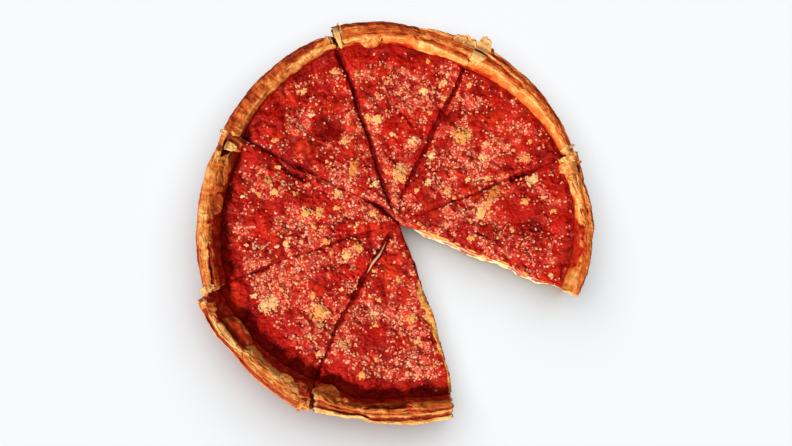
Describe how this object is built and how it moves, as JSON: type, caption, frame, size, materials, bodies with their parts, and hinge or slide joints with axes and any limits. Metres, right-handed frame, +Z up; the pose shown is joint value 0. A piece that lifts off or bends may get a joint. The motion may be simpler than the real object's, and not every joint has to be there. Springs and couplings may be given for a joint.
{
  "type": "deep dish pizza",
  "caption": "Round deep dish pizza cut into wedges with one taken out: tall flaky crust, cheese layer, chunky tomato sauce and toasted grated cheese.",
  "frame": {"origin": "centre of the bounding box in plan, on the surface that the pizza rests on", "axes": "+Z up, out of the sauce; the missing wedge points between +X and -Y"},
  "size_m": [0.3057, 0.309, 0.0398],
  "materials": {
    "crust": "matte",
    "cheese": "satin",
    "sauce": "gloss"
  },
  "bodies": {
    "root": {"slice_1_crust": "crust", "slice_1_cheese": "cheese", "slice_1_sauce": "sauce", "slice_2_crust": "crust", "slice_2_cheese": "cheese", "slice_2_sauce": "sauce", "slice_3_crust": "crust", "slice_3_cheese": "cheese", "slice_3_sauce": "sauce", "slice_4_crust": "crust", "slice_4_cheese": "cheese", "slice_4_sauce": "sauce", "slice_5_crust": "crust", "slice_5_cheese": "cheese", "slice_5_sauce": "sauce", "slice_6_crust": "crust", "slice_6_cheese": "cheese", "slice_6_sauce": "sauce", "slice_7_crust": "crust", "slice_7_cheese": "cheese", "slice_7_sauce": "sauce"}
  },
  "joints": []
}
